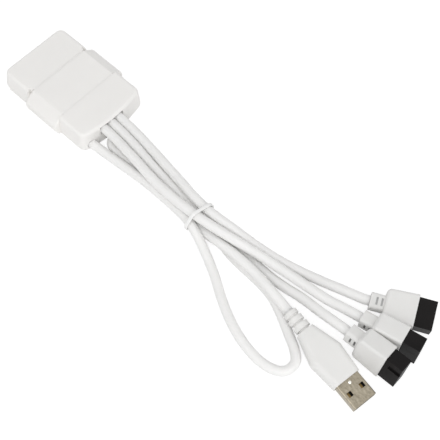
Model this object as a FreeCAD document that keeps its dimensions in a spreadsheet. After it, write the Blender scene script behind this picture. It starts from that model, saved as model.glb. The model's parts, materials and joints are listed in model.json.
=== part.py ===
import FreeCAD, Part
import math
import os
import re
import Sketcher

document = FreeCAD.newDocument("InternalHub")
vector = FreeCAD.Vector

# Driving sizes in millimetres and degrees. The hub lies along x and its leads leave at +x.
sizes = {
    "hub_height": 12.0,
    "rear_reach": 30.0,
    "rear_seam": 10.7,
    "front_seam": 11.0,
    "front_reach": 30.0,
    "bow_radius": 81.0,
    "bow_margin": 4.0,
    "bow_half": 24.0,
    "side_height": 4.5,
    "sleeve_low_height": 3.4,
    "sleeve_side_height": 7.2,
    "rear_base_half": 20.2,
    "rear_side_half": 20.8,
    "rear_top_half": 18.9,
    "sleeve_base_half": 21.4,
    "sleeve_low_half": 22.9,
    "sleeve_side_half": 23.3,
    "sleeve_top_half": 16.9,
    "front_base_half": 20.1,
    "front_side_half": 20.0,
    "front_top_half": 19.2,
    "corner_radius": 3.6,
    "edge_radius": 1.7,
    "sleeve_edge_radius": 1.5,
    "sleeve_end_radius": 0.9,
    "floor_thick": 1.4,
    "roof_thick": 1.1,
    "end_thick": 1.8,
    "cavity_half": 15.0,
    "ledge_half": 12.5,
    "sleeve_cavity_half": 15.3,
    "cavity_front": 20.0,
    "notch_along": 1.6,
    "notch_half_inner": 17.2,
    "notch_width": 3.4,
    "notch_height": 3.4,
    "board_seat": 3.2,
    "board_thick": 1.2,
    "board_half": 14.6,
    "board_gap": 0.4,
    "board_front": 19.4,
    "chip_side": 7.0,
    "chip_height": 1.3,
    "chip_at": 4.0,
    "pin_pitch": 0.8,
    "pin_width": 0.35,
    "pin_reach": 1.0,
    "pin_thick": 0.25,
    "crystal_long": 11.0,
    "crystal_wide": 4.6,
    "crystal_tall": 3.6,
    "crystal_back": 17.0,
    "crystal_corner": 2.1,
    "capacitor_radius": 2.5,
    "capacitor_gap": 1.1,
    "capacitor_along": 9.0,
    "capacitor_spread": 9.0,
    "lead_diameter": 4.7,
    "lead_height": 8.4,
    "lead_pitch": 4.8,
    "lead_middle": 1.9,
    "slot_half": 7.4,
    "slot_floor": 5.8,
    "usb_lead_side": 14.9,
    "usb_lead_height": 3.0,
    "usb_hole_end": 22.0,
    "usb_hole_radius": 2.5,
    "bar_groove_radius": 2.45,
    "bar_back": 16.4,
    "bar_long": 3.2,
    "bar_half": 8.4,
    "bar_height": 3.4,
    "tie_at": 95.0,
    "tie_width": 1.6,
    "tie_thick": 0.7,
    "tie_clear": 0.3,
    "boot_long": 14.2,
    "boot_end_half": 5.7,
    "boot_rear_half": 7.0,
    "boot_front_half": 7.9,
    "boot_half_thick": 4.7,
    "boot_shoulder": 1.3,
    "boot_edge": 1.3,
    "neck_long": 6.3,
    "neck_half_wide": 3.75,
    "neck_half_thick": 3.25,
    "neck_edge": 1.5,
    "slit_width": 0.9,
    "slit_half": 1.8,
    "slit_depth": 0.9,
    "slit_rear": 3.8,
    "slit_front": 1.5,
    "socket_half_wide": 6.8,
    "socket_half_thick": 3.6,
    "socket_out": 8.2,
    "socket_sunk": 4.0,
    "socket_clear": 0.1,
    "pin_hole_half": 0.5,
    "hole_row": 1.27,
    "pin_hole_deep": 9.0,
    "hole_pitch": 2.54,
    "key_from_edge": 5.1,
    "key_width": 2.4,
    "key_deep": 0.9,
    "key_long": 6.0,
    "contact_half": 0.38,
    "contact_long": 5.0,
    "mould_front_half": 7.0,
    "mould_wide_half": 8.3,
    "mould_waist_half": 5.9,
    "mould_rear_half": 4.3,
    "mould_wide_at": 14.0,
    "mould_waist_at": 22.0,
    "mould_rear_at": 27.5,
    "mould_half_thick": 4.0,
    "mould_rear_thick": 3.7,
    "mould_edge": 2.8,
    "relief_end": 38.5,
    "relief_front_radius": 3.8,
    "relief_middle_radius": 3.6,
    "relief_rear_radius": 3.4,
    "relief_core_radius": 2.7,
    "rib_one_start": 28.6,
    "rib_one_end": 31.2,
    "rib_two_start": 32.4,
    "rib_two_end": 34.8,
    "rib_three_start": 36.0,
    "rib_three_end": 38.0,
    "shell_half_wide": 6.0,
    "shell_half_thick": 2.25,
    "shell_out": 12.0,
    "shell_sunk": 4.0,
    "shell_wall": 0.3,
    "shell_edge": 0.6,
    "shell_clear": 0.1,
    "window_half": 1.15,
    "window_spread": 3.4,
    "window_at": 4.6,
    "tongue_half_wide": 5.6,
    "tongue_thick": 1.9,
    "tongue_back_from_mouth": 0.6,
    "blade_width": 1.1,
    "blade_thick": 0.25,
    "blade_long": 8.0,
    "blade_inner": 1.0,
    "blade_outer": 3.4,
}
sheet = document.addObject("Spreadsheet::Sheet", "Sizes")
for row, (name, number) in enumerate(sizes.items(), start=1):
    sheet.set("A%d" % row, name)
    sheet.set("B%d" % row, str(number))
    sheet.setAlias("B%d" % row, name)
document.recompute()


def terms(text):
    return re.findall(r"([+-]?)\s*([a-z_]+)", text)


def size(text):
    total = 0.0
    for sign, name in terms(text):
        total += -sheet.get(name) if sign == "-" else sheet.get(name)
    return total


def bound(text):
    return " ".join((sign or "+") + " Sizes." + name for sign, name in terms(text)).lstrip("+ ")


def bind(thing, entry, text):
    thing.setExpression(entry, bound(text))


nodes = []


def new_body(label):
    body = document.addObject("PartDesign::Body", label)
    body.Label = label
    nodes.append(body)
    return body


def origin_item(body, role):
    return [item for item in body.Origin.OriginFeatures if item.Role == role][0]


def new_sketch(body, role, away=None):
    sketch = body.newObject("Sketcher::SketchObject", body.Name + "_outline")
    sketch.AttachmentSupport = [(origin_item(body, role), "")]
    sketch.MapMode = "FlatFace"
    if away:
        bind(sketch, "AttachmentOffset.Base.z", away)
    return sketch


# Pins a sketch corner to the axes with sizes from the sheet.
def fix_corner(sketch, line, across, up):
    for axis, kind, text in ((-2, "DistanceX", across), (-1, "DistanceY", up)):
        if text == "":
            sketch.addConstraint(Sketcher.Constraint("PointOnObject", line, 1, axis))
        else:
            index = sketch.addConstraint(Sketcher.Constraint(kind, -1, 1, line, 1, size(text)))
            sketch.setExpression("Constraints[%d]" % index, bound(text))


def draw_polygon(sketch, corners):
    places = [vector(size(across), size(up), 0) for across, up in corners]
    count = len(places)
    first = sketch.GeometryCount
    for index in range(count):
        sketch.addGeometry(Part.LineSegment(places[index], places[(index + 1) % count]), False)
    for index in range(count):
        following = first + (index + 1) % count
        sketch.addConstraint(Sketcher.Constraint("Coincident", first + index, 2, following, 1))
        fix_corner(sketch, first + index, *corners[index])
    document.recompute()


def add_pad(body, sketch, text, both_ways=False):
    pad = body.newObject("PartDesign::Pad", body.Name + "_pad")
    pad.Profile = sketch
    pad.Midplane = both_ways
    bind(pad, "Length", text)
    body.Tip = pad
    document.recompute()
    return pad


# A block or a hole given by its low corner and its lengths.
def add_box(body, kind, low, lengths):
    box = body.newObject("PartDesign::%sBox" % kind, body.Name + "_box")
    for entry, text in zip(("Length", "Width", "Height"), lengths):
        bind(box, entry, text)
    for entry, text in zip("xyz", low):
        if text:
            bind(box, "Placement.Base." + entry, text)
    body.Tip = box
    document.recompute()
    return box


# A round hole along x from a given place.
def add_bore(body, start, radius, depth):
    bore = body.newObject("PartDesign::SubtractiveCylinder", body.Name + "_bore")
    bore.Placement.Rotation = FreeCAD.Rotation(vector(0, 1, 0), 90)
    bind(bore, "Radius", radius)
    bind(bore, "Height", depth)
    for entry, text in zip("xyz", start):
        bind(bore, "Placement.Base." + entry, text)
    body.Tip = bore
    document.recompute()
    return bore


def edges_where(feature, test):
    names = []
    for index, edge in enumerate(feature.Shape.Edges, start=1):
        if test(edge):
            names.append("Edge%d" % index)
    return names


def round_edges(body, test, text):
    base = body.Tip
    fillet = body.newObject("PartDesign::Fillet", body.Name + "_round")
    fillet.Base = (base, edges_where(base, test))
    bind(fillet, "Radius", text)
    body.Tip = fillet
    document.recompute()
    return fillet


def all_near(edge, axis, number, slack=0.02):
    return all(abs(getattr(vertex.Point, axis) - number) < slack for vertex in edge.Vertexes)


# The edge runs mainly along the given axis.
def runs_along(edge, axis):
    start, end = edge.Vertexes[0].Point, edge.Vertexes[-1].Point
    step = end - start
    if step.Length < 0.001:
        return False
    return abs(getattr(step, axis)) / step.Length > 0.9


# Symmetric casing cross section from half widths and heights, base first and top last.
def casing_section(body, away, halves):
    sketch = new_sketch(body, "YZ_Plane", away)
    draw_polygon(sketch, halves + [("-" + half, up) for half, up in reversed(halves)])
    return sketch


rear = new_body("rear_housing")
add_pad(rear, casing_section(rear, "-rear_reach", [
    ("rear_base_half", ""), ("rear_side_half", "side_height"), ("rear_top_half", "hub_height")]),
    "rear_reach-rear_seam")
round_edges(rear, lambda edge: all_near(edge, "x", -size("rear_reach")) and runs_along(edge, "z"),
            "corner_radius")
round_edges(rear, lambda edge: all_near(edge, "z", size("hub_height")) and not all_near(
    edge, "x", -size("rear_seam")), "edge_radius")
add_box(rear, "Subtractive", ("-rear_reach+end_thick", "-cavity_half", "board_seat"),
        ("rear_reach-end_thick-rear_seam", "cavity_half+cavity_half", "hub_height-roof_thick-board_seat"))
add_box(rear, "Subtractive", ("-rear_reach+end_thick", "-ledge_half", "floor_thick"),
        ("rear_reach-end_thick-rear_seam", "ledge_half+ledge_half", "board_seat-floor_thick"))
for low in ("notch_half_inner", "-notch_half_inner-notch_width"):
    add_box(rear, "Subtractive", ("-rear_seam-notch_along", low, "hub_height-notch_height"),
            ("notch_along", "notch_width", "notch_height"))

sleeve = new_body("sleeve")
add_pad(sleeve, casing_section(sleeve, "-rear_seam", [
    ("sleeve_base_half", ""), ("sleeve_low_half", "sleeve_low_height"),
    ("sleeve_side_half", "sleeve_side_height"), ("sleeve_top_half", "hub_height")]), "rear_seam+front_seam")
round_edges(sleeve, lambda edge: runs_along(edge, "x") and size("sleeve_low_height") - 0.02 <
            edge.Vertexes[0].Point.z < size("hub_height") - 0.02, "corner_radius")
round_edges(sleeve, lambda edge: runs_along(edge, "x") and all_near(edge, "z", size("hub_height")),
            "sleeve_edge_radius")
round_edges(sleeve, lambda edge: not runs_along(edge, "x") and not all_near(edge, "z", 0),
            "sleeve_end_radius")
add_box(sleeve, "Subtractive", ("-rear_seam", "-sleeve_cavity_half", "floor_thick"),
        ("rear_seam+front_seam", "sleeve_cavity_half+sleeve_cavity_half",
         "hub_height-roof_thick-floor_thick"))

front = new_body("front_housing")
add_pad(front, casing_section(front, "front_seam", [
    ("front_base_half", ""), ("front_side_half", "side_height"), ("front_top_half", "hub_height")]),
    "front_reach-front_seam")
bow = new_sketch(front, "XY_Plane")
bow_centre = vector(size("front_reach-bow_radius"), 0, 0)
bow_turn = math.asin(size("bow_half") / size("bow_radius"))
bow_ends = [bow_centre + vector(size("bow_radius") * math.cos(turn), size("bow_radius") * math.sin(turn), 0)
            for turn in (-bow_turn, bow_turn)]
bow_far = size("front_reach+bow_margin")
bow.addGeometry(Part.ArcOfCircle(Part.Circle(bow_centre, vector(0, 0, 1), size("bow_radius")),
                                 -bow_turn, bow_turn), False)
bow.addGeometry(Part.LineSegment(bow_ends[1], vector(bow_far, size("bow_half"), 0)), False)
bow.addGeometry(Part.LineSegment(vector(bow_far, size("bow_half"), 0),
                                 vector(bow_far, -size("bow_half"), 0)), False)
bow.addGeometry(Part.LineSegment(vector(bow_far, -size("bow_half"), 0), bow_ends[0]), False)
bow.addConstraint(Sketcher.Constraint("Coincident", 0, 2, 1, 1))
bow.addConstraint(Sketcher.Constraint("Coincident", 1, 2, 2, 1))
bow.addConstraint(Sketcher.Constraint("Coincident", 2, 2, 3, 1))
bow.addConstraint(Sketcher.Constraint("Coincident", 3, 2, 0, 1))
bow.addConstraint(Sketcher.Constraint("PointOnObject", 0, 3, -1))
bow_pin = bow.addConstraint(Sketcher.Constraint("DistanceX", -1, 1, 0, 3, bow_centre.x))
bow.setExpression("Constraints[%d]" % bow_pin, bound("front_reach-bow_radius"))
bow_pin = bow.addConstraint(Sketcher.Constraint("Radius", 0, size("bow_radius")))
bow.setExpression("Constraints[%d]" % bow_pin, bound("bow_radius"))
for line, up in ((2, "bow_half"), (3, "-bow_half")):
    fix_corner(bow, line, "front_reach+bow_margin", up)
bow.addConstraint(Sketcher.Constraint("Horizontal", 1))
bow.addConstraint(Sketcher.Constraint("Horizontal", 3))
document.recompute()
bow_cut = front.newObject("PartDesign::Pocket", "front_bow")
bow_cut.Profile = bow
bow_cut.Reversed = True
bind(bow_cut, "Length", "hub_height+bow_margin")
front.Tip = bow_cut
document.recompute()
round_edges(front, lambda edge: runs_along(edge, "z") and edge.CenterOfMass.x > size("front_seam") + 4,
            "corner_radius")
round_edges(front, lambda edge: all_near(edge, "z", size("hub_height")) and not all_near(
    edge, "x", size("front_seam")), "edge_radius")
add_box(front, "Subtractive", ("front_seam", "-cavity_half", "board_seat"),
        ("cavity_front-front_seam", "cavity_half+cavity_half", "hub_height-roof_thick-board_seat"))
add_box(front, "Subtractive", ("front_seam", "-ledge_half", "floor_thick"),
        ("cavity_front-front_seam", "ledge_half+ledge_half", "board_seat-floor_thick"))
add_box(front, "Subtractive", ("cavity_front", "-lead_middle-slot_half", "slot_floor"),
        ("front_reach+bow_margin-cavity_front", "slot_half+slot_half", "hub_height-roof_thick-slot_floor"))
add_bore(front, ("usb_hole_end", "-usb_lead_side", "usb_lead_height"), "usb_hole_radius",
         "front_reach+bow_margin-usb_hole_end")


# Plain block with its low corner and lengths bound to the sheet.
def new_block(label, low, lengths):
    block = document.addObject("Part::Box", label)
    block.Label = label
    for entry, text in zip(("Length", "Width", "Height"), lengths):
        bind(block, entry, text)
    for entry, text in zip("xyz", low):
        bind(block, "Placement.Base." + entry, text)
    document.recompute()
    return block


def new_group(label, solids):
    group = document.addObject("Part::Feature", label)
    group.Label = label
    group.Shape = Part.makeCompound(solids)
    nodes.append(group)
    return group


nodes.append(new_block("circuit_board", ("-rear_reach+end_thick+board_gap", "-board_half", "board_seat"),
                       ("rear_reach-end_thick-board_gap+board_front", "board_half+board_half", "board_thick")))
board_top = "board_seat+board_thick"
nodes.append(new_block("hub_chip", ("-chip_at", "-chip_side", board_top + "+pin_thick"),
                       ("chip_side", "chip_side", "chip_height")))

# Four rows of flat pins from the chip's sides to the board.
pins = []
chip_middle = vector(size("chip_side") / 2 - size("chip_at"), -size("chip_side") / 2, size(board_top))
for quarter in range(4):
    for place in range(7):
        pin = Part.makeBox(size("pin_reach"), size("pin_width"), size("pin_thick"),
                           vector(size("chip_side") / 2,
                                  (place - 3) * size("pin_pitch") - size("pin_width") / 2, 0))
        pin.rotate(vector(0, 0, 0), vector(0, 0, 1), 90 * quarter)
        pin.translate(chip_middle)
        pins.append(pin)
new_group("chip_leads", pins)

crystal_block = new_block("crystal_block", ("-crystal_back", "crystal_wide", board_top),
                          ("crystal_long", "crystal_wide", "crystal_tall"))
crystal = document.addObject("Part::Fillet", "crystal")
crystal.Label = "crystal"
crystal.Base = crystal_block
crystal.Edges = [(int(name[4:]), size("crystal_corner"), size("crystal_corner"))
                 for name in edges_where(crystal_block, lambda edge: runs_along(edge, "z"))]
nodes.append(crystal)

capacitor_tall = size("hub_height-roof_thick-capacitor_gap") - size(board_top)
new_group("capacitors", [
    Part.makeCylinder(size("capacitor_radius"), capacitor_tall,
                      vector(size("capacitor_along"), side * size("capacitor_spread"), size(board_top)))
    for side in (-1, 1)])

bar = new_body("cord_bar")
add_box(bar, "Additive", ("bar_back", "-lead_middle-bar_half", board_top),
        ("bar_long", "bar_half+bar_half", "bar_height"))
for side in ("-lead_middle-lead_pitch", "-lead_middle", "-lead_middle+lead_pitch"):
    add_bore(bar, ("bar_back", side, "lead_height"), "bar_groove_radius", "bar_long")


# Round lead along straight runs joined by tangent arcs.
def make_lead(label, points):
    places = [vector(*point) for point in points]
    edges = []
    radii = []
    start = places[0]
    for before, corner, after in zip(places, places[1:], places[2:]):
        back = (before - corner).normalize()
        ahead = (after - corner).normalize()
        shorter = min((before - corner).Length, (after - corner).Length)
        setback = 0.45 * shorter
        half_turn = (math.pi - back.getAngle(ahead)) / 2
        radius = setback / math.tan(half_turn)
        middle = (back + ahead).normalize()
        centre = corner + middle * (radius / math.cos(half_turn))
        edges.append(Part.LineSegment(start, corner + back * setback).toShape())
        edges.append(Part.Arc(corner + back * setback, centre - middle * radius,
                              corner + ahead * setback).toShape())
        start = corner + ahead * setback
        radii.append(radius)
    edges.append(Part.LineSegment(start, places[-1]).toShape())
    path = Part.Wire(edges)
    section = Part.Wire([Part.Circle(places[0], places[1] - places[0], size("lead_diameter") / 2).toShape()])
    lead = document.addObject("Part::Feature", label)
    lead.Label = label
    lead.Shape = path.makePipeShell([section], True, True)
    nodes.append(lead)
    ideal = path.Length * math.pi * size("lead_diameter") ** 2 / 4
    print("%s length %.1f, tightest bend %.1f, volume against section by length %.3f" % (
        label, path.Length, min(radii), lead.Shape.Volume / ideal))


# Hand-chosen routes from the hub to the connectors.
header_route_1 = [
    (15.4, 2.9, 8.4), (31.5, 2.9, 8.4), (49.0, 1.0, 9.0), (67.0, -2.0, 10.0), (80.0, -4.3, 11.2),
    (89.0, -6.2, 12.0), (101.0, -6.9, 12.1), (112.0, -5.3, 10.5), (123.0, -3.0, 6.0), (135.0, -0.8, 3.8),
    (148.0, 2.4, 3.0), (160.7, 5.7, 4.2), (169.7, 7.8, 6.2), (177.93, 10.18, 6.38),
    (180.3, 11.37, 6.36)]
header_route_2 = [
    (15.4, -6.7, 8.4), (31.5, -6.7, 8.4), (46.0, -8.5, 9.3), (58.0, -10.4, 10.3), (70.0, -12.4, 11.2),
    (82.0, -13.1, 12.0), (95.0, -12.7, 12.2), (106.0, -11.4, 12.0), (117.0, -9.3, 11.0),
    (128.0, -6.2, 7.8), (140.0, -4.2, 6.4), (155.0, -2.4, 6.4), (167.0, -1.4, 7.0),
    (174.0, 0.2, 7.9), (183.19, 1.89, 7.99)]
header_route_3 = [
    (15.4, -1.9, 8.4), (31.5, -1.9, 8.4), (46.0, -3.4, 8.4), (58.0, -5.2, 7.9), (70.0, -6.8, 7.6),
    (82.0, -8.2, 7.7), (94.0, -9.6, 7.9), (104.0, -9.5, 7.9), (113.0, -7.5, 6.0), (122.0, -8.0, 3.0),
    (133.0, -8.8, 2.5), (145.0, -8.6, 2.6), (157.0, -7.2, 4.2), (166.7, -7.9, 6.8),
    (175.0, -7.9, 8.7), (180.66, -7.55, 9.13), (183.3, -7.46, 9.11)]
usb_route = [
    (22.0, -14.9, 3.0), (33.0, -14.9, 3.0), (46.0, -14.0, 3.7), (58.0, -13.4, 4.9), (70.0, -13.3, 5.7),
    (82.0, -13.9, 6.6), (93.0, -14.7, 7.6), (102.0, -17.2, 6.2), (110.0, -20.4, 3.4), (120.0, -25.0, 2.4),
    (132.0, -32.6, 2.4), (144.0, -38.2, 2.4), (156.0, -41.5, 2.4), (166.6, -41.8, 2.4),
    (174.2, -38.4, 2.4), (175.2, -31.6, 2.4), (170.6, -27.3, 2.4), (163.3, -23.6, 2.4), (154.4, -18.6, 2.4),
    (145.0, -14.7, 2.4), (134.0, -13.7, 2.4), (123.0, -13.5, 2.4), (113.0, -11.7, 2.4),
    (104.0, -9.0, 2.5), (94.0, -7.3, 3.7), (82.0, -5.6, 2.6), (69.0, -3.6, 2.4), (57.0, 0.4, 2.4),
    (46.0, 3.9, 2.4), (33.0, 4.6, 2.4), (33.0, -9.6, 2.4), (46.0, -9.6, 2.4), (58.0, -9.2, 2.4),
    (70.0, -9.8, 2.4), (82.0, -10.6, 2.6), (94.0, -12.3, 3.6), (104.0, -13.3, 4.4), (113.0, -13.3, 7.0),
    (124.0, -13.1, 7.4), (136.0, -13.7, 7.4), (148.08, -15.98, 8.27), (157.93, -17.49, 7.43)]
make_lead("header_lead_1", header_route_1)
make_lead("header_lead_2", header_route_2)
make_lead("header_lead_3", header_route_3)
make_lead("usb_lead", usb_route)

# Band round the tied strands, drawn round the outer strands' middles and set across the bundle.
strands = [(-6.6, 12.0), (-12.6, 12.2), (-15.6, 7.2), (-12.4, 3.4), (-7.4, 3.4)]
half_band = size("tie_width") / 2
ring = Part.makePolygon([vector(-half_band, across, up) for across, up in strands + strands[:1]])
inner = ring.makeOffset2D(size("lead_diameter") / 2 + size("tie_clear"))
outer = ring.makeOffset2D(size("lead_diameter") / 2 + size("tie_clear") + size("tie_thick"))
through = vector(size("tie_width"), 0, 0)
band = Part.Face(outer).extrude(through).cut(Part.Face(inner).extrude(through))
tie = document.addObject("Part::Feature", "bundle_tie")
tie.Label = "bundle_tie"
tie.Shape = band
tie.Placement = FreeCAD.Placement(vector(size("tie_at"), 0, 0), FreeCAD.Rotation())
nodes.append(tie)


# White moulded boot, local x along the lead and z across the two rows of holes.
def make_boot(label, placement):
    boot = new_body(label)
    sketch = new_sketch(boot, "XZ_Plane")
    draw_polygon(sketch, [
        ("", "boot_end_half"), ("boot_shoulder", "boot_rear_half"), ("boot_long", "boot_front_half"),
        ("boot_long", "-boot_front_half"), ("boot_shoulder", "-boot_rear_half"), ("", "-boot_end_half")])
    add_pad(boot, sketch, "boot_half_thick+boot_half_thick", True)
    round_edges(boot, lambda edge: not all_near(edge, "x", size("boot_long")), "boot_edge")
    add_box(boot, "Additive", ("-neck_long", "-neck_half_thick", "-neck_half_wide"),
            ("neck_long+boot_edge", "neck_half_thick+neck_half_thick", "neck_half_wide+neck_half_wide"))
    round_edges(boot, lambda edge: runs_along(edge, "x") and edge.CenterOfMass.x < 0, "neck_edge")
    for away in ("-slit_rear", "-slit_front"):
        for side in ("-neck_half_thick", "neck_half_thick-slit_depth"):
            add_box(boot, "Subtractive", (away, side, "-slit_half"),
                    ("slit_width", "slit_depth", "slit_half+slit_half"))
    add_box(boot, "Subtractive",
            ("boot_long-socket_sunk", "-socket_half_thick-socket_clear", "-socket_half_wide-socket_clear"),
            ("socket_sunk", "socket_half_thick+socket_half_thick+socket_clear+socket_clear",
             "socket_half_wide+socket_half_wide+socket_clear+socket_clear"))
    boot.Placement = placement


# Black two-row socket: five holes in one row, four in the other, and a key slot.
def make_socket(label, placement):
    socket = new_body(label)
    add_box(socket, "Additive",
            ("boot_long-socket_sunk", "-socket_half_thick", "-socket_half_wide"),
            ("socket_sunk+socket_out", "socket_half_thick+socket_half_thick",
             "socket_half_wide+socket_half_wide"))
    mouth = "boot_long+socket_out-pin_hole_deep"
    for side, count in (("hole_row", 5), ("-hole_row", 4)):
        hole = add_box(socket, "Subtractive",
                       (mouth, side + "-pin_hole_half", "-hole_pitch-hole_pitch-pin_hole_half"),
                       ("pin_hole_deep", "pin_hole_half+pin_hole_half", "pin_hole_half+pin_hole_half"))
        pattern = socket.newObject("PartDesign::LinearPattern", label + "_holes")
        pattern.Originals = [hole]
        pattern.Direction = (origin_item(socket, "Z_Axis"), [""])
        pattern.Occurrences = count
        pattern.setExpression("Length", "%d * Sizes.hole_pitch" % (count - 1))
        socket.Tip = pattern
        document.recompute()
    add_box(socket, "Subtractive",
            ("boot_long+socket_out-key_long", "-socket_half_thick", "socket_half_wide-key_from_edge"),
            ("key_long", "key_deep", "key_width"))
    socket.Placement = placement


def make_contacts(label, placement):
    solids = []
    for side, count in ((1, 5), (-1, 4)):
        for place in range(count):
            low = vector(size("boot_long+socket_out-pin_hole_deep"),
                         side * size("hole_row") - size("contact_half"),
                         (place - 2) * size("hole_pitch") - size("contact_half"))
            solids.append(Part.makeBox(size("contact_long"), size("contact_half+contact_half"),
                                       size("contact_half+contact_half"), low))
    new_group(label, solids).Placement = placement


# Where the boots lie: place of the boot's rear face, then turn, rise and lean in degrees.
header_places = [
    ((185.98, 14.2, 6.3), 26.5, -0.5, 81.1),
    ((189.43, 3.05, 8.05), 10.5, 0.5, 1.9),
    ((189.65, -7.25, 9.05), 1.9, -0.5, 13.0)]
for number, (place, turn, rise, lean) in enumerate(header_places, start=1):
    header_placement = FreeCAD.Placement(vector(*place), FreeCAD.Rotation(turn, -rise, -lean))
    make_boot("header_boot_%d" % number, header_placement)
    make_socket("header_housing_%d" % number, header_placement)
    make_contacts("header_contacts_%d" % number, header_placement)

plug_placement = FreeCAD.Placement(vector(195.9, -23.3, 4.2), FreeCAD.Rotation(-8.7, 4.8, 0))
mould = new_body("plug_body")
sections = []
for away, half, thick in (("", "mould_front_half", "mould_half_thick"),
                          ("-mould_wide_at", "mould_wide_half", "mould_half_thick"),
                          ("-mould_waist_at", "mould_waist_half", "mould_half_thick"),
                          ("-mould_rear_at", "mould_rear_half", "mould_rear_thick")):
    section = new_sketch(mould, "YZ_Plane", away)
    draw_polygon(section, [("-" + half, "-" + thick), (half, "-" + thick), (half, thick), ("-" + half, thick)])
    sections.append(section)
loft = mould.newObject("PartDesign::AdditiveLoft", "plug_loft")
loft.Profile = sections[0]
loft.Sections = sections[1:]
loft.Ruled = True
mould.Tip = loft
document.recompute()
round_edges(mould, lambda edge: runs_along(edge, "x"), "mould_edge")
relief = new_sketch(mould, "XZ_Plane")
relief_corners = [("-mould_rear_at+mould_edge", ""), ("-mould_rear_at+mould_edge", "relief_core_radius")]
for start, end, radius in (("rib_one_start", "rib_one_end", "relief_front_radius"),
                           ("rib_two_start", "rib_two_end", "relief_middle_radius"),
                           ("rib_three_start", "rib_three_end", "relief_rear_radius")):
    relief_corners += [("-" + start, "relief_core_radius"), ("-" + start, radius),
                       ("-" + end, radius), ("-" + end, "relief_core_radius")]
relief_corners += [("-relief_end", "relief_core_radius"), ("-relief_end", "")]
draw_polygon(relief, relief_corners)
turned = mould.newObject("PartDesign::Revolution", "plug_relief")
turned.Profile = relief
turned.ReferenceAxis = (relief, ["H_Axis"])
turned.Angle = 360
mould.Tip = turned
document.recompute()
add_box(mould, "Subtractive",
        ("-shell_sunk", "-shell_half_wide-shell_clear", "-shell_half_thick-shell_clear"),
        ("shell_sunk", "shell_half_wide+shell_half_wide+shell_clear+shell_clear",
         "shell_half_thick+shell_half_thick+shell_clear+shell_clear"))
mould.Placement = plug_placement

shell = new_body("plug_shell")
add_box(shell, "Additive", ("-shell_sunk", "-shell_half_wide", "-shell_half_thick"),
        ("shell_sunk+shell_out", "shell_half_wide+shell_half_wide", "shell_half_thick+shell_half_thick"))
round_edges(shell, lambda edge: runs_along(edge, "x"), "shell_edge")
add_box(shell, "Subtractive",
        ("-shell_sunk", "-shell_half_wide+shell_wall", "-shell_half_thick+shell_wall"),
        ("shell_sunk+shell_out", "shell_half_wide+shell_half_wide-shell_wall-shell_wall",
         "shell_half_thick+shell_half_thick-shell_wall-shell_wall"))
for side in ("window_spread", "-window_spread"):
    add_box(shell, "Subtractive", ("window_at", side + "-window_half", "-mould_half_thick"),
            ("window_half+window_half", "window_half+window_half", "mould_half_thick+mould_half_thick"))
shell.Placement = plug_placement

tongue = new_body("plug_tongue")
add_box(tongue, "Additive", ("-shell_sunk", "-tongue_half_wide", "-shell_half_thick+shell_wall"),
        ("shell_sunk+shell_out-tongue_back_from_mouth", "tongue_half_wide+tongue_half_wide", "tongue_thick"))
tongue.Placement = plug_placement

blades = []
for across in ("blade_outer", "blade_inner", "-blade_inner", "-blade_outer"):
    low = vector(size("shell_out-tongue_back_from_mouth-blade_long-blade_width"),
                 size(across) - size("blade_width") / 2,
                 size("-shell_half_thick+shell_wall+tongue_thick"))
    blades.append(Part.makeBox(size("blade_long"), size("blade_width"), size("blade_thick"), low))
new_group("plug_contacts", blades).Placement = plug_placement

document.recompute()
for item in document.Objects:
    if "Invalid" in item.State or "Error" in item.State:
        raise RuntimeError("%s did not build: %s" % (item.Label, item.State))
os.makedirs("parts", exist_ok=True)
for node in nodes:
    if node.Shape.isNull() or not node.Shape.isValid() or not node.Shape.Solids:
        raise RuntimeError("%s has no sound shape" % node.Label)
    print("%s volume %.1f, solids %d, box %s" % (
        node.Label, node.Shape.Volume, len(node.Shape.Solids), node.Shape.optimalBoundingBox(False)))
    node.Shape.exportStep(os.path.join("parts", node.Label + ".step"))
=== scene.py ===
import json
from math import radians
import bmesh
import bpy
from mathutils import Matrix, Vector


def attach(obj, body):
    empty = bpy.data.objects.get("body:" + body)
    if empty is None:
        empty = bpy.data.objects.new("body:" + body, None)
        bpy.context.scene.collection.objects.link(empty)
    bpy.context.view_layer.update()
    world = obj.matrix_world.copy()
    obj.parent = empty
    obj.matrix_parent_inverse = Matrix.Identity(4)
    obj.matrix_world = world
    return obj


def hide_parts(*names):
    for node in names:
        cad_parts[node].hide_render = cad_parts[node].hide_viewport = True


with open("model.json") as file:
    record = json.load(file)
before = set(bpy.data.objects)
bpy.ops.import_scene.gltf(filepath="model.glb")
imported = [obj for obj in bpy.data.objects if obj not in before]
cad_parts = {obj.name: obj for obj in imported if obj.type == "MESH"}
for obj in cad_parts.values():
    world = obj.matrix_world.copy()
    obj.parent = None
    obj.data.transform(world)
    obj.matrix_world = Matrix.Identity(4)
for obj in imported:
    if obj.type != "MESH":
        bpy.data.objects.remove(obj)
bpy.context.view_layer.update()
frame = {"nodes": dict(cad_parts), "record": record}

scene = bpy.context.scene
print("stage: frame loaded")


# Puts the camera or a lamp in its place, turned to its target
def aimAt(thing, place, target):
    thing.location = place
    thing.rotation_mode = "QUATERNION"
    thing.rotation_quaternion = (Vector(target) - Vector(place)).to_track_quat("-Z", "Y")
    scene.collection.objects.link(thing)


# Camera at the photograph's place, in metres
cameraValues = {"eye": (0.2456, -0.1551, 0.395), "target": (0.1019, -0.002, 0.0),
                "lens": 77.73, "sensor": 36.0}
cameraData = bpy.data.cameras.new("camera")
cameraData.lens = cameraValues["lens"]
cameraData.sensor_width = cameraValues["sensor"]
camera = bpy.data.objects.new("camera", cameraData)
aimAt(camera, cameraValues["eye"], cameraValues["target"])
scene.camera = camera
print("stage: camera")


def newMaterial(name):
    material = bpy.data.materials.new(name)
    material.use_nodes = True
    tree = material.node_tree
    return material, tree, tree.nodes["Principled BSDF"]


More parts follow.
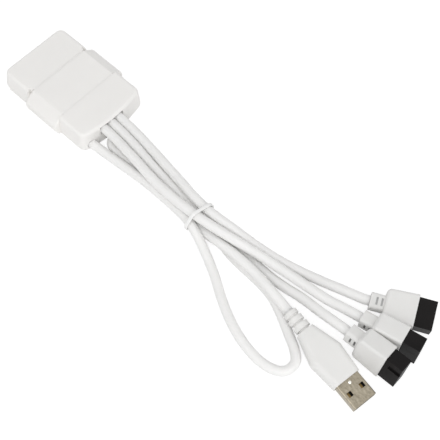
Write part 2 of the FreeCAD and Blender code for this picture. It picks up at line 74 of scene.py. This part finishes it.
def addNode(tree, kind, **settings):
    node = tree.nodes.new(kind)
    for entry, value in settings.items():
        node.inputs[entry].default_value = value
    return node


# One pattern drives the tone between dark and light, and the gloss around its roughness
def addTone(tree, shader, pattern, values, spread):
    tone = tree.nodes.new("ShaderNodeMix")
    tone.data_type = "RGBA"
    tone.inputs[6].default_value = (*values["dark"], 1.0)  # the mix's first colour
    tone.inputs[7].default_value = (*values["light"], 1.0)  # and its second
    tree.links.new(pattern, tone.inputs[0])
    tree.links.new(tone.outputs[2], shader.inputs["Base Color"])
    gloss = tree.nodes.new("ShaderNodeMapRange")
    gloss.inputs["To Min"].default_value = values["roughness"] - spread["glossBelow"]
    gloss.inputs["To Max"].default_value = values["roughness"] + spread["glossAbove"]
    tree.links.new(pattern, gloss.inputs["Value"])
    tree.links.new(gloss.outputs["Result"], shader.inputs["Roughness"])


def addBump(tree, shader, pattern, strength, distance):
    bump = addNode(tree, "ShaderNodeBump", Strength=strength, Distance=distance)
    tree.links.new(pattern, bump.inputs["Height"])
    tree.links.new(bump.outputs["Normal"], shader.inputs["Normal"])


# Moulded plastic: slight tone drift, uneven gloss and a fine grain, all on object coordinates
plasticValues = {"driftDetail": 3.0, "driftRoughness": 0.55, "glossBelow": 0.05, "glossAbove": 0.07,
                 "grainDetail": 2.0, "grainDistance": 0.00005}


def makePlastic(name, values):
    material, tree, shader = newMaterial(name)
    place = tree.nodes.new("ShaderNodeTexCoord").outputs["Object"]
    drift = addNode(tree, "ShaderNodeTexNoise", Scale=values["driftScale"],
                    Detail=plasticValues["driftDetail"], Roughness=plasticValues["driftRoughness"])
    tree.links.new(place, drift.inputs["Vector"])
    addTone(tree, shader, drift.outputs["Fac"], values, plasticValues)
    grain = addNode(tree, "ShaderNodeTexNoise", Scale=values["grainScale"],
                    Detail=plasticValues["grainDetail"])
    tree.links.new(place, grain.inputs["Vector"])
    addBump(tree, shader, grain.outputs["Fac"], values["grain"], plasticValues["grainDistance"])
    shader.inputs["Specular IOR Level"].default_value = values["specular"]
    shader.inputs["Subsurface Weight"].default_value = values["translucency"]
    shader.inputs["Subsurface Radius"].default_value = (values["depth"],) * 3
    shader.inputs["Subsurface Scale"].default_value = 1.0
    return material


# Metal: fine scratches, stretched along one direction of the part
metalValues = {"detail": 4.0, "glossBelow": 0.06, "glossAbove": 0.1,
               "scratch": 0.12, "scratchDistance": 0.00002}


def makeMetal(name, values):
    material, tree, shader = newMaterial(name)
    place = tree.nodes.new("ShaderNodeTexCoord").outputs["Object"]
    stretch = addNode(tree, "ShaderNodeMapping", Scale=values["stretch"])
    tree.links.new(place, stretch.inputs["Vector"])
    scratches = addNode(tree, "ShaderNodeTexNoise", Scale=values["scratchScale"],
                        Detail=metalValues["detail"])
    tree.links.new(stretch.outputs["Vector"], scratches.inputs["Vector"])
    addTone(tree, shader, scratches.outputs["Fac"], values, metalValues)
    addBump(tree, shader, scratches.outputs["Fac"], metalValues["scratch"], metalValues["scratchDistance"])
    shader.inputs["Metallic"].default_value = 1.0
    return material


opaque = {"translucency": 0.0, "depth": 0.0012}
casingValues = {"dark": (0.868, 0.855, 0.835), "light": (0.926, 0.912, 0.892), "driftScale": 55.0,
                "roughness": 0.46, "grainScale": 2600.0, "grain": 0.12, "specular": 0.3,
                "translucency": 0.2, "depth": 0.0012}
jacketValues = {"dark": (0.828, 0.823, 0.813), "light": (0.887, 0.882, 0.872), "driftScale": 90.0,
                "roughness": 0.4, "grainScale": 3200.0, "grain": 0.1, "specular": 0.35,
                "translucency": 0.9, "depth": 0.0025}
mouldValues = {"dark": (0.79, 0.785, 0.77), "light": (0.85, 0.845, 0.83), "driftScale": 70.0,
               "roughness": 0.48, "grainScale": 2400.0, "grain": 0.15, "specular": 0.3,
               "translucency": 0.3, "depth": 0.0012}
bootValues = {**mouldValues, "dark": (0.765, 0.76, 0.747), "light": (0.82, 0.815, 0.80)}  # a little greyer
tieValues = {"dark": (0.86, 0.86, 0.85), "light": (0.92, 0.92, 0.91), "driftScale": 140.0,
             "roughness": 0.5, "grainScale": 3000.0, "grain": 0.15, "specular": 0.35,
             "translucency": 0.05, "depth": 0.0012}
socketValues = {**opaque, "dark": (0.006, 0.0055, 0.0055), "light": (0.014, 0.0125, 0.0125),
                "driftScale": 120.0, "roughness": 0.45, "grainScale": 2600.0, "grain": 0.2, "specular": 0.1}
insulatorValues = {**opaque, "dark": (0.01, 0.01, 0.01), "light": (0.02, 0.02, 0.02), "driftScale": 150.0,
                   "roughness": 0.5, "grainScale": 2600.0, "grain": 0.2, "specular": 0.15}
boardValues = {**opaque, "dark": (0.02, 0.16, 0.06), "light": (0.035, 0.22, 0.09), "driftScale": 160.0,
               "roughness": 0.35, "grainScale": 2200.0, "grain": 0.1, "specular": 0.5}
chipValues = {**opaque, "dark": (0.018, 0.018, 0.019), "light": (0.035, 0.035, 0.036), "driftScale": 200.0,
              "roughness": 0.6, "grainScale": 3600.0, "grain": 0.3, "specular": 0.4}
shellValues = {"dark": (0.15, 0.13, 0.095), "light": (0.57, 0.51, 0.40), "scratchScale": 1100.0,
               "roughness": 0.3, "stretch": (0.6, 1.0, 1.0)}
# Contacts painted dark brown: painted shade for the dark inside of the plug's shell, seen through its windows
shadedGoldValues = {"dark": (0.15, 0.10, 0.04), "light": (0.30, 0.21, 0.09), "scratchScale": 1200.0,
              "roughness": 0.34, "stretch": (0.2, 1.0, 1.0)}
tinValues = {"dark": (0.55, 0.55, 0.55), "light": (0.72, 0.72, 0.73), "scratchScale": 1000.0,
             "roughness": 0.32, "stretch": (1.0, 0.3, 1.0)}
finishes = {
    "casing": makePlastic("casingPlastic", casingValues),
    "jacket": makePlastic("jacketPlastic", jacketValues),
    "mould": makePlastic("mouldPlastic", mouldValues),
    "tie": makePlastic("tiePlastic", tieValues),
    "socket": makePlastic("socketPlastic", socketValues),
    "insulator": makePlastic("insulatorPlastic", insulatorValues),
    "board": makePlastic("boardMask", boardValues),
    "chip": makePlastic("chipPlastic", chipValues),
    "shell": makeMetal("shellMetal", shellValues),
    "gold": makeMetal("contactMetalPaintedShade", shadedGoldValues),
    "tinned": makeMetal("tinnedMetal", tinValues),
    "can": makeMetal("canMetal", tinValues),
}
slotOfNode = {part["node"]: part["material_slot"] for part in frame["record"]["subparts"]}
for nodeName, nodeObject in frame["nodes"].items():
    nodeObject.data.materials.clear()
    nodeObject.data.materials.append(finishes[slotOfNode[nodeName]])
bootFinish = makePlastic("bootPlastic", bootValues)
for number in (1, 2, 3):
    frame["nodes"]["header_boot_%d" % number].data.materials[0] = bootFinish
print("stage: materials")


# Makes the finished bmesh a piece of the hub
def addPiece(name, shape, slotName):
    mesh = bpy.data.meshes.new(name)
    shape.to_mesh(mesh)
    shape.free()
    mesh.materials.append(finishes[slotName])
    piece = bpy.data.objects.new(name, mesh)
    scene.collection.objects.link(piece)
    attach(piece, "root")
    return piece


# A block from its low corner and its sizes, with rounded edges
def startBlock(corner, sizes, rounding):
    shape = bmesh.new()
    bmesh.ops.create_cube(shape, size=1.0)
    bmesh.ops.scale(shape, vec=sizes, verts=shape.verts)
    bmesh.ops.translate(shape, vec=Vector(corner) + Vector(sizes) / 2, verts=shape.verts)
    bmesh.ops.bevel(shape, geom=shape.edges[:], offset=rounding, affect="EDGES",
                    segments=2, profile=0.5, material=-1)
    return shape


def smoothFaces(shape):
    for face in shape.faces:
        face.smooth = True


# Tie: a band pulled tight round the bundle's strands, a little slanted
tieBandValues = {
    "strands": [(-0.0066, 0.012), (-0.0126, 0.0122), (-0.0156, 0.0072), (-0.0124, 0.0034), (-0.0074, 0.0034)],
    "reach": 0.00265, "width": 0.0016, "thick": 0.0007, "at": 0.0971, "middle": -0.011, "slant": 0.19,
    "segments": 32, "rounding": 0.0002, "roundingSegments": 3, "endFacing": 0.9, "rimAngle": 1.0,
}
band = bmesh.new()
faceAlong = Matrix.Rotation(radians(90), 4, "Y")
for strandY, strandZ in tieBandValues["strands"]:
    for side in (-0.5, 0.5):
        ringPlace = Matrix.Translation((side * tieBandValues["width"], strandY, strandZ)) @ faceAlong
        bmesh.ops.create_circle(band, segments=tieBandValues["segments"],
                                radius=tieBandValues["reach"], matrix=ringPlace)
hull = bmesh.ops.convex_hull(band, input=band.verts[:])
inside = [entry for entry in hull["geom_interior"] if isinstance(entry, bmesh.types.BMVert)]
bmesh.ops.delete(band, geom=inside, context="VERTS")
ends = [face for face in band.faces if abs(face.normal.x) > tieBandValues["endFacing"]]
bmesh.ops.delete(band, geom=ends, context="FACES_ONLY")
bmesh.ops.delete(band, geom=[edge for edge in band.edges if not edge.link_faces], context="EDGES")
bmesh.ops.solidify(band, geom=band.faces[:], thickness=-tieBandValues["thick"])
bmesh.ops.recalc_face_normals(band, faces=band.faces[:])
rims = [edge for edge in band.edges
        if len(edge.link_faces) == 2 and edge.calc_face_angle() > tieBandValues["rimAngle"]]
bmesh.ops.bevel(band, geom=rims, offset=tieBandValues["rounding"], affect="EDGES",
                segments=tieBandValues["roundingSegments"], profile=0.5, material=-1)
slant = Matrix.Translation((tieBandValues["at"] - tieBandValues["slant"] * tieBandValues["middle"], 0.0, 0.0))
slant[0][1] = tieBandValues["slant"]  # x moves with y
bmesh.ops.transform(band, matrix=slant, verts=band.verts)
smoothFaces(band)
tie = addPiece("bundleTie", band, "tie")
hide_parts("bundle_tie")
print("stage: tie")

# Lips inside the sleeve's two seams, so that only shallow lines show; each has its start and top
lipValues = {"half": 0.0162, "along": 0.0009, "deep": 0.0012, "rounding": 0.00002,
             "places": {"rearSeamLip": (-0.0107, 0.01196), "frontSeamLip": (0.0101, 0.01194)}}
lipSizes = (lipValues["along"], 2 * lipValues["half"], lipValues["deep"])
for lipName, (lipStart, lipTop) in lipValues["places"].items():
    lipCorner = (lipStart, -lipValues["half"], lipTop - lipValues["deep"])
    addPiece(lipName, startBlock(lipCorner, lipSizes, lipValues["rounding"]), "casing")

# Pressed dot on the plug's shell, near the grip; its metal is painted far lighter than the shell, a painted
# highlight
dotAndHighlightValues = {"plugPlace": (0.1959, -0.0233, 0.0042), "turn": -8.7, "tilt": 4.8,
             "centre": (0.0017, 0.0, 0.00223), "radius": 0.0008, "rise": 0.0003, "segments": 24, "rings": 12,
             "dark": (0.86, 0.83, 0.76), "light": (0.95, 0.93, 0.87), "scratchScale": 1500.0,
             "roughness": 0.2, "stretch": (1.0, 1.0, 1.0)}
plugPlace = (Matrix.Translation(dotAndHighlightValues["plugPlace"])
             @ Matrix.Rotation(radians(dotAndHighlightValues["turn"]), 4, "Z")
             @ Matrix.Rotation(radians(dotAndHighlightValues["tilt"]), 4, "Y"))
dot = bmesh.new()
bmesh.ops.create_uvsphere(dot, u_segments=dotAndHighlightValues["segments"], v_segments=dotAndHighlightValues["rings"], radius=1.0)
bmesh.ops.scale(dot, vec=(dotAndHighlightValues["radius"], dotAndHighlightValues["radius"], dotAndHighlightValues["rise"]), verts=dot.verts)
bmesh.ops.translate(dot, vec=dotAndHighlightValues["centre"], verts=dot.verts)
bmesh.ops.transform(dot, matrix=plugPlace, verts=dot.verts)
smoothFaces(dot)
shellDot = addPiece("shellDot", dot, "shell")
# The dot's light metal colour is a painted highlight
shellDot.data.materials[0] = makeMetal("pressedDotHighlightMetal", dotAndHighlightValues)

# Header boots: place, turn, rise and lean of each
headerPlaces = [((0.18598, 0.0142, 0.0063), 26.5, -0.5, 81.1),
                ((0.18943, 0.00305, 0.00805), 10.5, 0.5, 1.9),
                ((0.18965, -0.00725, 0.00905), 1.9, -0.5, 13.0)]
# Painted shade in the slits of the boots' necks: dark plates at the slits' bottoms, with its own painted
# shade for each boot
slitShadowValues = {**opaque, "starts": (-0.00381, -0.00151), "long": 0.00092, "half": 0.00181,
              "low": 0.0023, "high": 0.0027, "shades": (0.42, 0.2, 0.18), "lighter": 1.2,
              "driftScale": 150.0, "roughness": 0.6, "grainScale": 2600.0, "grain": 0.2, "specular": 0.2}
# Plain covers flush in the key slots of the first two sockets
coverValues = {"headers": (1, 2), "corner": (0.0164, -0.00358, 0.00171),
               "sizes": (0.00598, 0.00088, 0.00238), "rounding": 0.00002}
slitSizes = (slitShadowValues["long"], slitShadowValues["high"] - slitShadowValues["low"], 2 * slitShadowValues["half"])
slitAway = (slitShadowValues["low"] + slitShadowValues["high"]) / 2
headerPieces = {}
for number, (place, turn, rise, lean) in enumerate(headerPlaces, start=1):
    headerPlace = (Matrix.Translation(place) @ Matrix.Rotation(radians(turn), 4, "Z")
                   @ Matrix.Rotation(radians(-rise), 4, "Y") @ Matrix.Rotation(radians(-lean), 4, "X"))
    slits = bmesh.new()
    for slitStart in slitShadowValues["starts"]:
        for side in (-1, 1):
            cube = bmesh.ops.create_cube(slits, size=1.0)["verts"]
            bmesh.ops.scale(slits, vec=slitSizes, verts=cube)
            slitMiddle = (slitStart + slitShadowValues["long"] / 2, side * slitAway, 0.0)
            bmesh.ops.translate(slits, vec=slitMiddle, verts=cube)
    bmesh.ops.transform(slits, matrix=headerPlace, verts=slits.verts)
    slitShadowPiece = addPiece("neckSlitShadows%d" % number, slits, "mould")
    # Each boot's slit plates get a painted shade, lighter where the slits face the light
    shade = slitShadowValues["shades"][number - 1]
    slitShadowTones = {**slitShadowValues, "dark": (shade,) * 3, "light": (slitShadowValues["lighter"] * shade,) * 3}
    slitShadowPiece.data.materials[0] = makePlastic("slitShade%d" % number, slitShadowTones)
    headerPieces[number] = [slitShadowPiece]
    if number in coverValues["headers"]:
        cover = startBlock(coverValues["corner"], coverValues["sizes"], coverValues["rounding"])
        bmesh.ops.transform(cover, matrix=headerPlace, verts=cover.verts)
        headerPieces[number].append(addPiece("keyCover%d" % number, cover, "socket"))
print("stage: small pieces")

# Leads: the routes' points in metres, from the hub to the connectors
leadValues = {"diameter": 0.0047, "facets": 8, "smoothness": 10,
              "headerLengths": (0.1692, 0.1702, 0.1699), "usbLength": 0.449}
leadRoutes = {
    "headerLead1": [
        (0.0154, 0.0029, 0.0084), (0.0315, 0.0029, 0.0084), (0.049, 0.001, 0.009),
        (0.067, -0.002, 0.01), (0.08, -0.0043, 0.0112), (0.089, -0.0062, 0.012),
        (0.101, -0.0069, 0.0121), (0.112, -0.0053, 0.0105), (0.123, -0.003, 0.006),
        (0.135, -0.0008, 0.0038), (0.148, 0.0024, 0.003), (0.1607, 0.0057, 0.0042),
        (0.1697, 0.0078, 0.0062), (0.17793, 0.01018, 0.00638), (0.1803, 0.01137, 0.00636)],
    "headerLead2": [
        (0.0154, -0.0067, 0.0084), (0.0315, -0.0067, 0.0084), (0.046, -0.0085, 0.0093),
        (0.058, -0.0104, 0.0103), (0.07, -0.0124, 0.0112), (0.082, -0.0131, 0.012),
        (0.095, -0.0127, 0.0122), (0.106, -0.0114, 0.012), (0.117, -0.0093, 0.011),
        (0.128, -0.0062, 0.0078), (0.14, -0.0042, 0.0064), (0.155, -0.0024, 0.0064),
        (0.167, -0.0014, 0.007), (0.174, 0.0002, 0.0079), (0.18319, 0.00189, 0.00799)],
    "headerLead3": [
        (0.0154, -0.0019, 0.0084), (0.0315, -0.0019, 0.0084), (0.046, -0.0034, 0.0084),
        (0.058, -0.0052, 0.0079), (0.07, -0.0068, 0.0076), (0.082, -0.0082, 0.0077),
        (0.094, -0.0096, 0.0079), (0.104, -0.0095, 0.0079), (0.113, -0.0075, 0.006),
        (0.122, -0.008, 0.003), (0.133, -0.0088, 0.0025), (0.145, -0.0086, 0.0026),
        (0.157, -0.0072, 0.0042), (0.1667, -0.0079, 0.0068), (0.175, -0.0079, 0.0087),
        (0.18066, -0.00755, 0.00913), (0.1833, -0.00746, 0.00911)],
    "usbLead": [
        (0.022, -0.0149, 0.003), (0.033, -0.0149, 0.003), (0.046, -0.014, 0.0037),
        (0.058, -0.0134, 0.0049), (0.07, -0.0133, 0.0057), (0.082, -0.0139, 0.0066),
        (0.093, -0.0147, 0.0076), (0.102, -0.0172, 0.0062), (0.11, -0.0204, 0.0034),
        (0.12, -0.025, 0.0024), (0.132, -0.0326, 0.0024), (0.144, -0.0382, 0.0024),
        (0.156, -0.0415, 0.0024), (0.1666, -0.0418, 0.0024), (0.1742, -0.0384, 0.0024),
        (0.1752, -0.0316, 0.0024), (0.1706, -0.0273, 0.0024), (0.1633, -0.0236, 0.0024),
        (0.1544, -0.0186, 0.0024), (0.145, -0.0147, 0.0024), (0.134, -0.0137, 0.0024),
        (0.123, -0.0135, 0.0024), (0.113, -0.0117, 0.0024), (0.104, -0.009, 0.0025),
        (0.094, -0.0073, 0.0037), (0.082, -0.0056, 0.0026), (0.069, -0.0036, 0.0024),
        (0.057, 0.0004, 0.0024), (0.046, 0.0039, 0.0024), (0.033, 0.0046, 0.0024),  # fold at the wall
        (0.033, -0.0096, 0.0024), (0.046, -0.0096, 0.0024), (0.058, -0.0092, 0.0024),
        (0.07, -0.0098, 0.0024), (0.082, -0.0106, 0.0026), (0.094, -0.0123, 0.0036),
        (0.104, -0.0133, 0.0044), (0.113, -0.0133, 0.007), (0.124, -0.0131, 0.0074),
        (0.136, -0.0137, 0.0074), (0.14808, -0.01598, 0.00827), (0.15793, -0.01749, 0.00743)],
}
# Each lead: its CAD node, length, far end and what it carries
leadFacts = {
    "usbLead": ("usb_lead", leadValues["usbLength"], "plug",
                ["plug_body", "plug_shell", "plug_tongue", "plug_contacts", tie, shellDot]),
}
for number, length in enumerate(leadValues["headerLengths"], start=1):
    headerNodes = [kind % number for kind in ("header_boot_%d", "header_housing_%d", "header_contacts_%d")]
    leadFacts["headerLead%d" % number] = ("header_lead_%d" % number, length, "connector",
                                          headerNodes + headerPieces[number])
for leadName, points in leadRoutes.items():
    curve = bpy.data.curves.new(leadName, "CURVE")
    curve.dimensions = "3D"
    curve.bevel_depth = leadValues["diameter"] / 2
    curve.bevel_resolution = leadValues["facets"]
    curve.use_fill_caps = True
    spline = curve.splines.new("NURBS")
    spline.points.add(len(points) - 1)
    for controlPoint, place in zip(spline.points, points):
        controlPoint.co = (*place, 1.0)
    spline.order_u = 3  # set after the points are there
    spline.use_endpoint_u = True
    spline.resolution_u = leadValues["smoothness"]
    lead = bpy.data.objects.new(leadName, curve)
    scene.collection.objects.link(lead)
    curve.materials.append(finishes["jacket"])
    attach(lead, "root")
    nodeName, length, farEnd, carried = leadFacts[leadName]
    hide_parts(nodeName)
print("stage: leads")

# White paper floor: what the lens and polished metal see is lifted to white, the contact shadow stays
floorValues = {"half": 3.0, "below": 0.00002, "colour": (0.93, 0.93, 0.93), "roughness": 0.9,
               "seenColour": (0.36, 0.36, 0.36), "lift": 0.78}
half = floorValues["half"]
floorCorners = [(-half, -half, 0), (half, -half, 0), (half, half, 0), (-half, half, 0)]
floorMesh = bpy.data.meshes.new("floor")
floorMesh.from_pydata(floorCorners, [], [(0, 1, 2, 3)])
floor = bpy.data.objects.new("floor", floorMesh)
floor.location.z = -floorValues["below"]
scene.collection.objects.link(floor)


# 1 for a ray from the lens, off polished metal or through clear plastic, otherwise 0
def addSeenRay(tree):
    rays = tree.nodes.new("ShaderNodeLightPath")
    total = rays.outputs["Is Camera Ray"]
    for rayName in ("Is Glossy Ray", "Is Transmission Ray"):
        larger = tree.nodes.new("ShaderNodeMath")
        larger.operation = "MAXIMUM"
        tree.links.new(total, larger.inputs[0])
        tree.links.new(rays.outputs[rayName], larger.inputs[1])
        total = larger.outputs[0]
    return total


# Shows one shader to the light and the other to the lens
def mixSeen(tree, lightShader, seenShader, outputName):
    mix = tree.nodes.new("ShaderNodeMixShader")
    tree.links.new(addSeenRay(tree), mix.inputs[0])
    tree.links.new(lightShader.outputs[0], mix.inputs[1])
    tree.links.new(seenShader.outputs[0], mix.inputs[2])
    tree.links.new(mix.outputs[0], tree.nodes[outputName].inputs["Surface"])


floorMaterial, floorTree, floorShader = newMaterial("floorPaper")
floorShader.inputs["Base Color"].default_value = (*floorValues["colour"], 1.0)
floorShader.inputs["Roughness"].default_value = floorValues["roughness"]
floorShader.inputs["Specular IOR Level"].default_value = 0.0
seenPaper = addNode(floorTree, "ShaderNodeBsdfDiffuse", Color=(*floorValues["seenColour"], 1.0))
paperLift = addNode(floorTree, "ShaderNodeEmission", Strength=floorValues["lift"])
seenSum = floorTree.nodes.new("ShaderNodeAddShader")
floorTree.links.new(seenPaper.outputs[0], seenSum.inputs[0])
floorTree.links.new(paperLift.outputs[0], seenSum.inputs[1])
mixSeen(floorTree, floorShader, seenSum, "Material Output")
floorMesh.materials.append(floorMaterial)

# Even white studio round the hub
worldValues = {"colour": (1.0, 1.0, 1.0), "strength": 0.6, "seenStrength": 1.0}
world = bpy.data.worlds.new("studio")
world.use_nodes = True
worldTree = world.node_tree
worldColour = (*worldValues["colour"], 1.0)
background = worldTree.nodes["Background"]
background.inputs["Color"].default_value = worldColour
background.inputs["Strength"].default_value = worldValues["strength"]
seenSky = addNode(worldTree, "ShaderNodeBackground", Color=worldColour, Strength=worldValues["seenStrength"])
mixSeen(worldTree, background, seenSky, "World Output")
scene.world = world

# Each lamp: place, target, width and power
lampValues = {
    "keyLamp": ((-0.05, -0.5, 0.8), (0.09, 0.0, 0.0), 0.6, 1.25),
    "fillLamp": ((0.85, -0.2, 0.4), (0.1, 0.0, 0.0), 0.8, 1.85),
    "frontLamp": ((0.616, -0.549, 1.413), (0.1, 0.0, 0.0), 0.9, 4.2),
}
for lampName, (place, target, width, power) in lampValues.items():
    lampData = bpy.data.lights.new(lampName, "AREA")
    lampData.size = width
    lampData.energy = power
    aimAt(bpy.data.objects.new(lampName, lampData), place, target)
scene.view_settings.view_transform = "Standard"
print("stage: light")
